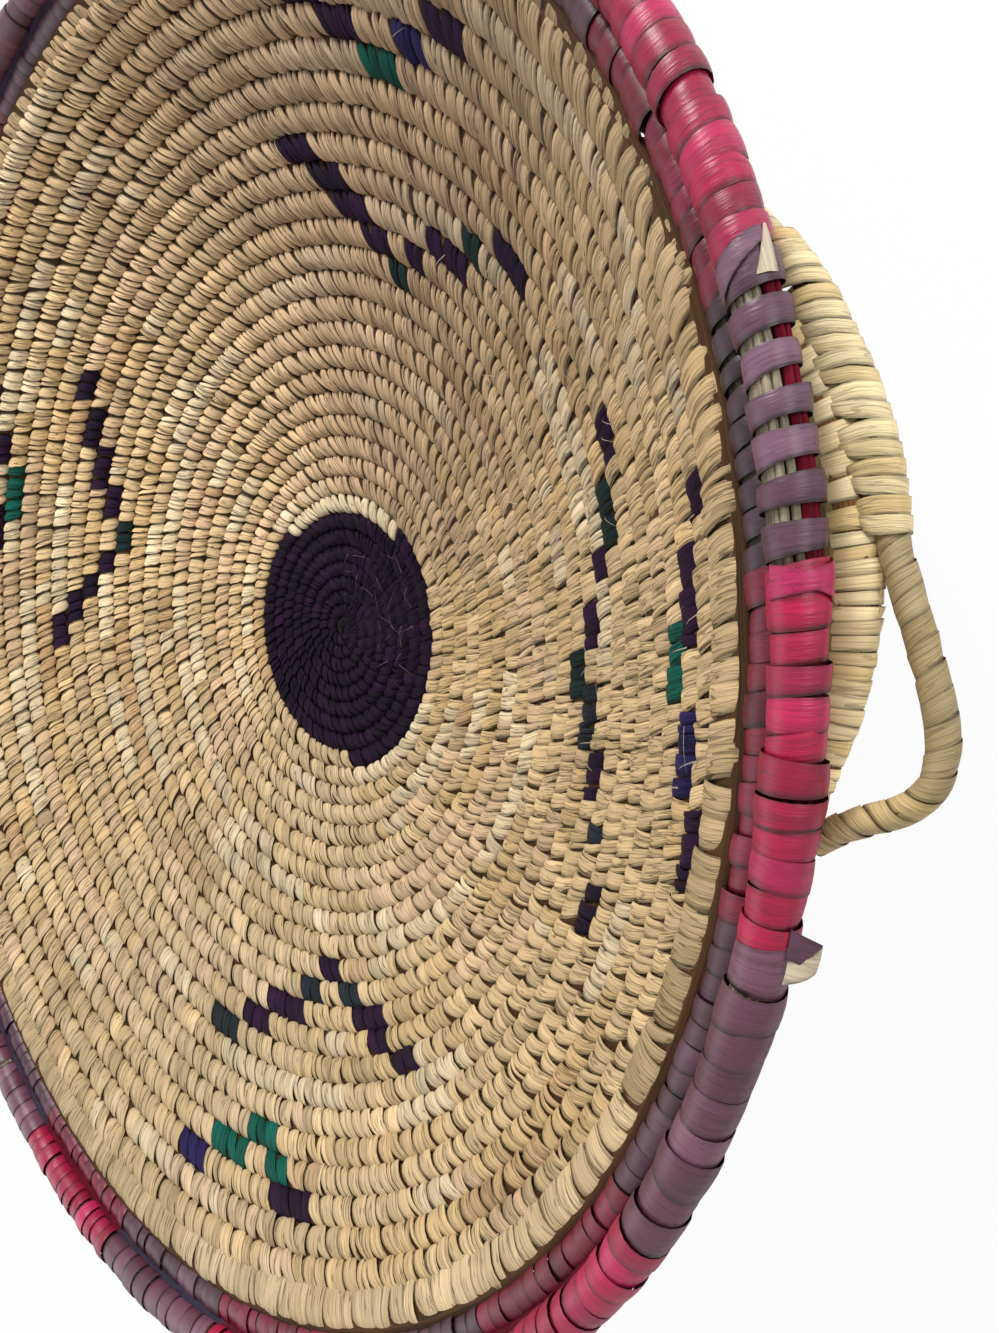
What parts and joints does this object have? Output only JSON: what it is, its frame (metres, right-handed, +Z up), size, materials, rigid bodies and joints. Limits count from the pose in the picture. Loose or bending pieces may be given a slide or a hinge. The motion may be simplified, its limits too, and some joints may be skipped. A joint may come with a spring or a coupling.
{
  "type": "coiled basket bowl",
  "caption": "Shallow round coiled basket bowl of stitched straw with a dark centre, stepped chevrons, a banded double rim and two bound finger-loop handles.",
  "frame": {"origin": "centre of the base, on the plane the basket stands on", "axes": "+Z up along the bowl axis, +X towards the near handle, +Y a quarter turn anticlockwise from it as seen from above"},
  "size_m": [0.42, 0.3946, 0.0811],
  "materials": {
    "dark_leaf": "dyed palm leaf over grass, near-black aubergine, slight sheen",
    "straw_leaf": "natural palm leaf over grass, straw, satin, with dyed chevrons",
    "rim_bundle": "grass bundle of the rim, crimson and cream strands",
    "mauve_leaf": "dyed palm leaf, mauve, satin",
    "magenta_leaf": "dyed palm leaf, magenta, satin",
    "handle_leaf": "natural palm leaf, pale straw, satin"
  },
  "bodies": {
    "root": {"centre_coil": "dark_leaf", "floor_coil": "straw_leaf", "lower_wall_coil": "straw_leaf", "upper_wall_coil": "straw_leaf", "inner_rim_core": "rim_bundle", "outer_rim_core": "rim_bundle", "inner_rim_wrap_01": "mauve_leaf", "inner_rim_wrap_02": "magenta_leaf", "inner_rim_wrap_03": "mauve_leaf", "inner_rim_wrap_04": "magenta_leaf", "inner_rim_wrap_05": "mauve_leaf", "inner_rim_wrap_06": "magenta_leaf", "inner_rim_wrap_07": "mauve_leaf", "inner_rim_wrap_08": "magenta_leaf", "inner_rim_wrap_09": "mauve_leaf", "inner_rim_wrap_10": "magenta_leaf", "inner_rim_wrap_11": "mauve_leaf", "inner_rim_wrap_12": "magenta_leaf", "inner_rim_wrap_13": "mauve_leaf", "inner_rim_wrap_14": "magenta_leaf", "inner_rim_wrap_15": "mauve_leaf", "inner_rim_wrap_16": "magenta_leaf", "inner_rim_wrap_17": "mauve_leaf", "inner_rim_wrap_18": "magenta_leaf", "inner_rim_wrap_19": "mauve_leaf", "inner_rim_wrap_20": "magenta_leaf", "inner_rim_wrap_21": "mauve_leaf", "inner_rim_wrap_22": "magenta_leaf", "outer_rim_wrap_01": "mauve_leaf", "outer_rim_wrap_02": "magenta_leaf", "outer_rim_wrap_03": "mauve_leaf", "outer_rim_wrap_04": "magenta_leaf", "outer_rim_wrap_05": "mauve_leaf", "outer_rim_wrap_06": "magenta_leaf", "outer_rim_wrap_07": "mauve_leaf", "outer_rim_wrap_08": "magenta_leaf", "outer_rim_wrap_09": "mauve_leaf", "outer_rim_wrap_10": "magenta_leaf", "outer_rim_wrap_11": "mauve_leaf", "outer_rim_wrap_12": "magenta_leaf", "outer_rim_wrap_13": "mauve_leaf", "outer_rim_wrap_14": "magenta_leaf", "outer_rim_wrap_15": "mauve_leaf", "outer_rim_wrap_16": "magenta_leaf", "outer_rim_wrap_17": "mauve_leaf", "outer_rim_wrap_18": "magenta_leaf", "outer_rim_wrap_19": "mauve_leaf", "outer_rim_wrap_20": "magenta_leaf", "outer_rim_wrap_21": "mauve_leaf", "outer_rim_wrap_22": "magenta_leaf", "near_handle_bow": "handle_leaf", "near_handle_rod": "handle_leaf", "near_handle_binding_1": "handle_leaf", "near_handle_binding_2": "handle_leaf", "near_handle_binding_3": "handle_leaf", "far_handle_bow": "handle_leaf", "far_handle_rod": "handle_leaf", "far_handle_binding_1": "handle_leaf", "far_handle_binding_2": "handle_leaf", "far_handle_binding_3": "handle_leaf"}
  },
  "joints": []
}
